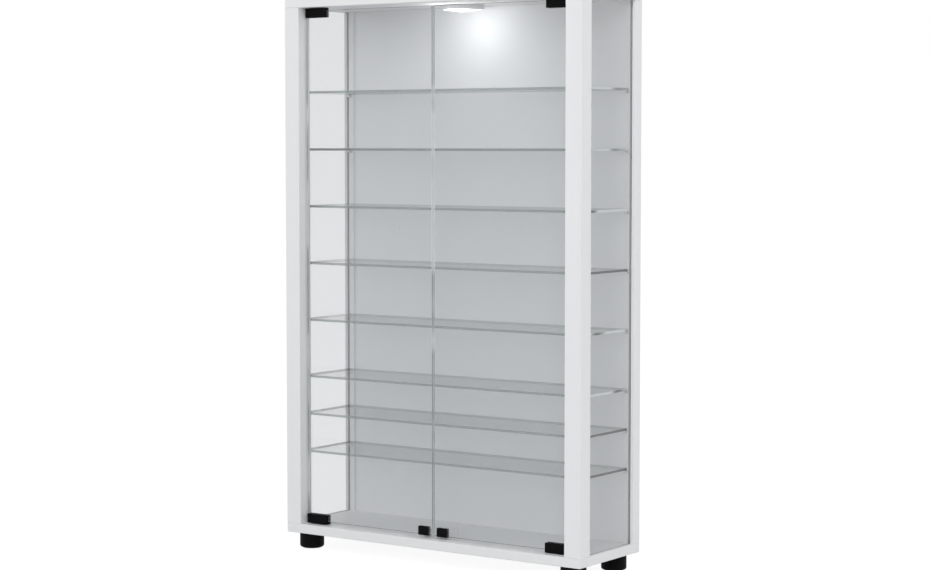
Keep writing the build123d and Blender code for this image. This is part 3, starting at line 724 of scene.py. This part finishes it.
@dataclass
class Shelving(Assembly):
    """Eight glass shelves, each on four turned pins."""

    pin_radius: float = 2.0
    collar_radius: float = 3.0
    collar: float = 1.0
    in_post: float = 9.0
    reach: float = 7.0
    front_pin_x: float = 280.0
    rear_pin_x: float = 286.4

    def build(self) -> None:
        """Turns the pins in place of the plain ones."""
        pins = Blank()
        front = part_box("front_post_left")[1].y / MM
        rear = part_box("rear_post_left")[0].y / MM
        for shelf in self.shelves():
            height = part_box(shelf)[0].z / MM - self.pin_radius
            for side in (-1, 1):
                self._pin(pins, (side * self.front_pin_x, front, height), (0, 1, 0))
                self._pin(pins, (side * self.rear_pin_x, rear, height), (0, -1, 0))
        pins.piece("shelf_pins_turned", NICKEL, "case", "shelf_pins")

    @staticmethod
    def shelves() -> list[str]:
        """The names of the shelves, from the lowest."""
        return [f"shelf_{number}" for number in range(1, 9)]

    def _pin(self, pins: Blank, base: tuple[float, float, float], out: tuple[int, int, int]) -> None:
        """Adds one pin, with a rolled collar, a groove and a rounded nose."""
        r, c, tail = self.pin_radius, self.collar_radius, -self.in_post
        profile = [(0, tail), (r - 0.5, tail), (r, tail + 0.5), (r, 0), (c - 0.15, 0), (c, 0.2),
                   (c, self.collar - 0.25), (c - 0.25, self.collar), (r, self.collar),
                   (r - 0.12, self.collar + 0.3), (r, self.collar + 0.6), (r, self.reach - 1.0),
                   (r - 0.15, self.reach - 0.5), (r - 0.6, self.reach - 0.12), (0, self.reach)]
        pins.turned(profile, base, out, 32)

    def dress(self) -> None:
        """Gives the shelves their finish."""
        paint(SHELF_PANE, *self.shelves())


# The doors


@dataclass
class Door(Assembly):
    """One glass door with its two hinge clamps and its strike clip."""

    side: Side
    clamp_ease: float = 0.5
    clip_ease: float = 0.25

    def build(self) -> None:
        """Eases the edges of the clamps and of the strike clip."""
        widths = {"hinge_clamp_bottom": self.clamp_ease, "hinge_clamp_top": self.clamp_ease,
                  "strike_clip": self.clip_ease}
        for kind, width in widths.items():
            part = f"{kind}_{self.side.value}"
            Blank.of_part(part).ease(width).piece(f"{part}_eased", POWDER_COAT, self.body, part)

    @property
    def body(self) -> str:
        """The body that the door's pieces ride on."""
        return f"door_{self.side.value}"

    def dress(self) -> None:
        """Gives the door its finishes."""
        side = self.side.value
        paint(DOOR_PANE, f"door_glass_{side}")
        paint(BLACK_RUBBER, f"hinge_pads_{side}", f"strike_liner_{side}")
        paint(BLACK_STEEL, f"hinge_screws_{side}", f"hinge_pins_{side}")


@dataclass
class Pivots(Assembly):
    """The nylon bushes that the hinge pins turn in."""

    def dress(self) -> None:
        """Gives the bushes their finish."""
        paint(NYLON, "pivot_bushes")


@dataclass
class PushLatch(Assembly):
    """The double push latch: a housing with two magnet plungers."""

    plunger_x: float = 14.5
    plunger_z: float = 51.0
    radius: float = 4.5
    stem_radius: float = 2.0
    stem: float = 9.0
    magnet_radius: float = 3.45
    edge_ease: float = 0.25
    ribs: int = 7
    first_rib: float = 12.0
    rib_pitch: float = 1.7
    rib_width: float = 0.8
    rib_reach: float = 8.0
    rib_rise: float = 0.35
    rib_root: float = 0.6

    def build(self) -> None:
        """Works the housing, its cap and the plungers."""
        for part in ("latch_body", "latch_cap"):
            Blank.of_part(part).ease(self.edge_ease).piece(f"{part}_eased", GREY_PLASTIC, "case", part)
        self._grip()
        for side in Side:
            self._plunger(side)

    def _grip(self) -> None:
        """Adds the moulded ribs along the housing's roof."""
        low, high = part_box("latch_body")
        front, roof = low.y / MM, high.z / MM
        ribs = Blank()
        for number in range(self.ribs):
            y = front + self.first_rib + self.rib_pitch * number
            ribs.block((-self.rib_reach, y, roof - self.rib_root),
                       (self.rib_reach, y + self.rib_width, roof + self.rib_rise), 0.2)
        ribs.piece("latch_ribs", GREY_PLASTIC, "case")

    def _plunger(self, side: Side) -> None:
        """Turns one plunger, with a pocket for its magnet and two oil grooves."""
        part = f"latch_plunger_{side.value}"
        low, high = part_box(part)
        x = -self.plunger_x if side is Side.LEFT else self.plunger_x
        r, m = self.radius, self.magnet_radius
        end = (high.y - low.y) / MM
        shoulder = end - self.stem
        profile = [(0, 2.5), (m, 2.5), (m, 0.15), (m + 0.15, 0), (r - 0.6, 0), (r - 0.15, 0.2), (r, 0.7),
                   (r, 6.0), (r - 0.25, 6.2), (r - 0.25, 6.7), (r, 6.9), (r, 9.0), (r - 0.25, 9.2),
                   (r - 0.25, 9.7), (r, 9.9), (r, shoulder - 0.4), (r - 0.4, shoulder),
                   (self.stem_radius, shoulder), (self.stem_radius, end - 0.4), (self.stem_radius - 0.4, end),
                   (0, end)]
        plunger = Blank().turned(profile, (x, low.y / MM, self.plunger_z), (0, 1, 0), 56)
        plunger.piece(f"{part}_turned", WHITE_PLASTIC, f"plunger_{side.value}", part)

    def dress(self) -> None:
        """Gives the latch its finishes."""
        paint(NICKEL, "latch_magnet_left", "latch_magnet_right", "latch_springs")


# The lamp


@dataclass
class Lamp(Assembly):
    """The flat round lamp under the top board, its light board, lens and lead bush."""

    radius: float = 35.0
    wall: float = 2.0
    height: float = 8.0
    roof: float = 1.5
    lip: float = 4.0
    lens: float = 2.0
    lens_seat: float = 1.0
    dome: float = 4.0
    prism: float = 0.16
    chips: int = 8
    facets: int = 128

    def build(self) -> None:
        """Turns the housing and lens, and sets the chips."""
        self._housing()
        self._lens()
        self._chips()

    def _housing(self) -> None:
        """Turns the housing, with a rolled lip round the lens."""
        r, inner, h = self.radius, self.radius - self.wall, self.height
        profile = [(0, h), (r - 0.2, h), (r, h - 0.2), (r, 1.5), (r - 0.12, 0.9), (r - 0.45, 0.4),
                   (r - 0.95, 0.08), (r - 1.4, 0), (inner + 0.3, 0.02), (inner + 0.05, 0.3),
                   (inner + 0.05, h - self.roof), (0, h - self.roof)]
        housing = Blank().turned(profile, LAMP_CENTRE, (0, 0, 1), self.facets)
        housing.piece("lamp_housing_turned", WHITE_PLASTIC, "case", "lamp_housing")

    def _lens(self) -> None:
        """Turns the lens, with round prisms pressed into its domed lower face."""
        edge = self.radius - self.wall - 0.2
        seat = self.lens_seat
        profile = [(0, seat + self.lens), (edge - 0.3, seat + self.lens), (edge, seat + self.lens - 0.3),
                   (edge, seat + 0.2), (edge - 0.3, seat)]
        rim = edge - self.lip / 2
        ball = (rim ** 2 + self.dome ** 2) / (2 * self.dome)
        pitch = LENS.pitch / MM
        for number in range(int(rim / pitch)):
            for inset, rise in ((0.0, 0.0), (0.5, self.prism)):
                r = rim - (number + inset) * pitch
                profile.append((r, seat - self.dome + ball - math.sqrt(ball ** 2 - r ** 2) + rise))
        profile.append((0, seat - self.dome))
        lens = Blank().turned(profile, LAMP_CENTRE, (0, 0, 1), self.facets)
        lens.piece("lamp_lens_turned", LENS, "case", "lamp_lens")

    def _chips(self) -> None:
        """Adds the phosphor dome of each light chip."""
        domes = Blank()
        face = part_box("lamp_board")[0].z / MM
        for number in range(self.chips):
            turn = math.tau * number / self.chips
            place = (CHIP_RING * math.cos(turn), LAMP_CENTRE[1] + CHIP_RING * math.sin(turn), face)
            domes.turned([(0, 0.1), (1.1, 0.1), (1.0, -0.05), (0.6, -0.2), (0, -0.26)], place, (0, 0, 1), 24)
        domes.piece("lamp_chip_domes", PHOSPHOR, "case")

    def dress(self) -> None:
        """Gives the lamp its finishes."""
        paint(LIGHT_BOARD, "lamp_board")
        paint(BLACK_RUBBER, "cable_bush")


# Feet and hanging plates


@dataclass
class Feet(Assembly):
    """Four turned feet with grey pads."""

    radius: float = 21.0
    heel: float = 4.0
    pad_radius: float = 16.5
    pad: float = 3.0
    recess: float = 6.0

    def build(self) -> None:
        """Turns the feet and their pads."""
        pads = Blank()
        for row in ("front", "rear"):
            for side in Side:
                part = f"foot_{row}_{side.value}"
                low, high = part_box(part)
                middle = (low + high) / 2 / MM
                self._foot(part, middle, low.z / MM, high.z / MM)
                self._pad(pads, middle)
        pads.piece("foot_pads_turned", GREY_RUBBER, "case", "foot_pads")

    def _foot(self, part: str, middle: Vector, low: float, high: float) -> None:
        """Turns one foot: a mould line under its top, a rounded heel and the recess for its pad."""
        r, heel = self.radius, self.heel
        turns = [math.pi / 2 * step / 8 for step in range(9)]
        curve = [(r - heel + heel * math.cos(t), low + heel - heel * math.sin(t)) for t in turns]
        profile = [(0, high), (r - 0.5, high), (r, high - 0.5), (r, high - 2.3), (r - 0.3, high - 2.6),
                   (r - 0.3, high - 3.1), (r, high - 3.4), *curve, (self.pad_radius + 0.1, low),
                   (self.pad_radius + 0.1, self.pad), (self.recess, self.pad), (self.recess, high - 7.0),
                   (0, high - 7.0)]
        foot = Blank().turned(profile, (middle.x, middle.y, 0), (0, 0, 1), 112)
        foot.piece(f"{part}_turned", BLACK_PLASTIC, "case", part)

    def _pad(self, pads: Blank, middle: Vector) -> None:
        """Turns one pad, with rings pressed into its sole."""
        r = self.pad_radius
        sole = [(r - 3.0, 0), (r - 3.4, 0.35), (r - 4.2, 0.35), (r - 4.6, 0), (r - 7.6, 0), (r - 8.0, 0.35),
                (r - 8.8, 0.35), (r - 9.2, 0)]
        profile = [(0, self.pad), (r, self.pad), (r, 0.6), (r - 0.2, 0.2), (r - 0.6, 0), *sole, (0, 0)]
        pads.turned(profile, (middle.x, middle.y, 0), (0, 0, 1), 72)

    def dress(self) -> None:
        """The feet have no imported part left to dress."""


@dataclass
class HangingPlates(Assembly):
    """Two plates let into the top board, with an eye each for a wall hook."""

    edge_ease: float = 0.3

    def build(self) -> None:
        """Eases the plates."""
        for side in Side:
            part = f"hanger_plate_{side.value}"
            Blank.of_part(part).ease(self.edge_ease).piece(f"{part}_eased", NICKEL, "case", part)

    def dress(self) -> None:
        """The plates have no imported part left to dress."""


# Studio


@dataclass(frozen=True)
class Softbox:
    """One square studio lamp, turned to the middle of the showcase, in metres and watts."""

    name: str
    place: tuple[float, float, float]
    size: float
    power: float

    def hang(self, target: Vector) -> None:
        """Hangs the lamp.

        Args:
            target: the point that it is turned to.
        """
        light = bpy.data.lights.new(self.name, "AREA")
        light.shape = "SQUARE"
        light.size = self.size
        light.energy = self.power
        lamp = bpy.data.objects.new(self.name, light)
        lamp.location = self.place
        lamp.rotation_euler = (target - Vector(self.place)).to_track_quat("-Z", "Y").to_euler()
        bpy.context.scene.collection.objects.link(lamp)


@dataclass
class Studio:
    """A pale floor, soft lamps, a white surround and the camera, in metres and degrees."""

    camera_place: tuple[float, float, float] = (2.1503, -3.0378, 0.6996)
    camera_turn: tuple[float, float, float] = (86.368, 0.0, 35.131)
    focal_length: float = 85.82
    lamps: tuple[Softbox, ...] = (Softbox("Key lamp", (1.5, -3.0, 1.9), 2.0, 44.0),
                                  Softbox("Fill lamp", (-2.8, -1.2, 1.5), 1.8, 14.0),
                                  Softbox("Side lamp", (3.0, 1.3, 1.2), 1.6, 17.0))
    target_height: float = 0.48
    surround: float = 0.6
    floor_white: float = 1.14
    floor_reach: float = 16.0
    floor_strips: int = 8
    floor_gap: float = 0.0002
    glow: float = 0.2
    glow_radius: float = 0.008
    glow_forward: float = 0.02
    glow_below: float = 0.012
    glass_layers: int = 48

    def build(self) -> None:
        """Builds the studio."""
        self._floor()
        self._world()
        for lamp in self.lamps:
            lamp.hang(Vector((0.0, 0.0, self.target_height)))
        self._lamp_glow()
        self._camera()
        bpy.context.scene.view_settings.view_transform = "Standard"
        bpy.context.scene.cycles.transparent_max_bounces = self.glass_layers

    def _floor(self) -> None:
        """Lays the floor."""
        sheet = bmesh.new()
        reach = self.floor_reach
        rows = [reach * (2.0 * step / self.floor_strips - 1.0) for step in range(self.floor_strips + 1)]
        lines = [[sheet.verts.new((x, y, -self.floor_gap)) for x in (-reach, reach)] for y in rows]
        for near, far in zip(lines, lines[1:]):
            sheet.faces.new((near[0], near[1], far[1], far[0]))
        data = bpy.data.meshes.new("studio_floor")
        sheet.to_mesh(data)
        sheet.free()
        material = bpy.data.materials.new("Studio floor")
        material.use_nodes = True
        g = Graph(material.node_tree)
        paper = g.principled(Base_Color=g.mix(g.noise(3.0, 2.0), (0.80, 0.80, 0.80), (0.83, 0.83, 0.83)),
                             Roughness=0.9, Normal=g.bump(g.noise(60.0, 3.0), 0.0002))
        white = g.node("ShaderNodeEmission", inputs={"Strength": self.floor_white})
        g.node("ShaderNodeOutputMaterial", inputs={"Surface": g.blend(0.8 * self._seen(g), paper, white)})
        data.materials.append(material)
        floor = bpy.data.objects.new("studio_floor", data)
        bpy.context.scene.collection.objects.link(floor)

    @staticmethod
    def _seen(g: Graph) -> Value:
        """1 for rays from the camera, through glass or off a gloss, else 0."""
        kinds = ("Camera", "Glossy", "Transmission")
        rays = [g.node("ShaderNodeLightPath", out=f"Is {kind} Ray") for kind in kinds]
        return rays[0] | rays[1] | rays[2]

    def _world(self) -> None:
        """Makes the surround white to look at, and softer as a light."""
        world = bpy.data.worlds.new("Studio surround")
        bpy.context.scene.world = world
        world.use_nodes = True
        g = Graph(world.node_tree)
        soft = g.node("ShaderNodeBackground",
                      inputs={"Color": (0.97, 0.985, 1.0, 1.0), "Strength": self.surround})
        white = g.node("ShaderNodeBackground", inputs={"Color": (1.0, 1.0, 1.0, 1.0), "Strength": 1.0})
        g.node("ShaderNodeOutputWorld", inputs={"Surface": g.blend(self._seen(g), soft, white)})

    def _lamp_glow(self) -> None:
        """Lets the showcase's own lamp light its inside."""
        light = bpy.data.lights.new("Showcase lamp glow", "POINT")
        light.energy = self.glow
        light.shadow_soft_size = self.glow_radius
        glow = bpy.data.objects.new("Showcase lamp glow", light)
        glow.location = Vector(LAMP_PLACE) - Vector((0.0, self.glow_forward, self.glow_below))
        glow.visible_camera = glow.visible_glossy = glow.visible_transmission = False
        bpy.context.scene.collection.objects.link(glow)

    def _camera(self) -> None:
        """Sets up the camera."""
        data = bpy.data.cameras.new("Camera")
        data.lens = self.focal_length
        data.sensor_width = 36.0
        data.clip_start, data.clip_end = 0.05, 50.0
        camera = bpy.data.objects.new("Camera", data)
        camera.location = self.camera_place
        camera.rotation_euler = tuple(math.radians(angle) for angle in self.camera_turn)
        bpy.context.scene.collection.objects.link(camera)
        bpy.context.scene.camera = camera


def main() -> None:
    """Builds and dresses the showcase, then the studio."""
    logging.basicConfig(level=logging.INFO, format="%(name)s: %(message)s")
    for assembly in (Case(), BackPanel(), Shelving(), Door(Side.LEFT), Door(Side.RIGHT), Pivots(),
                     PushLatch(), Lamp(), Feet(), HangingPlates()):
        LOG.info("%s", type(assembly).__name__)
        assembly.build()
        assembly.dress()
    Studio().build()


if __name__ == "__main__":
    main()
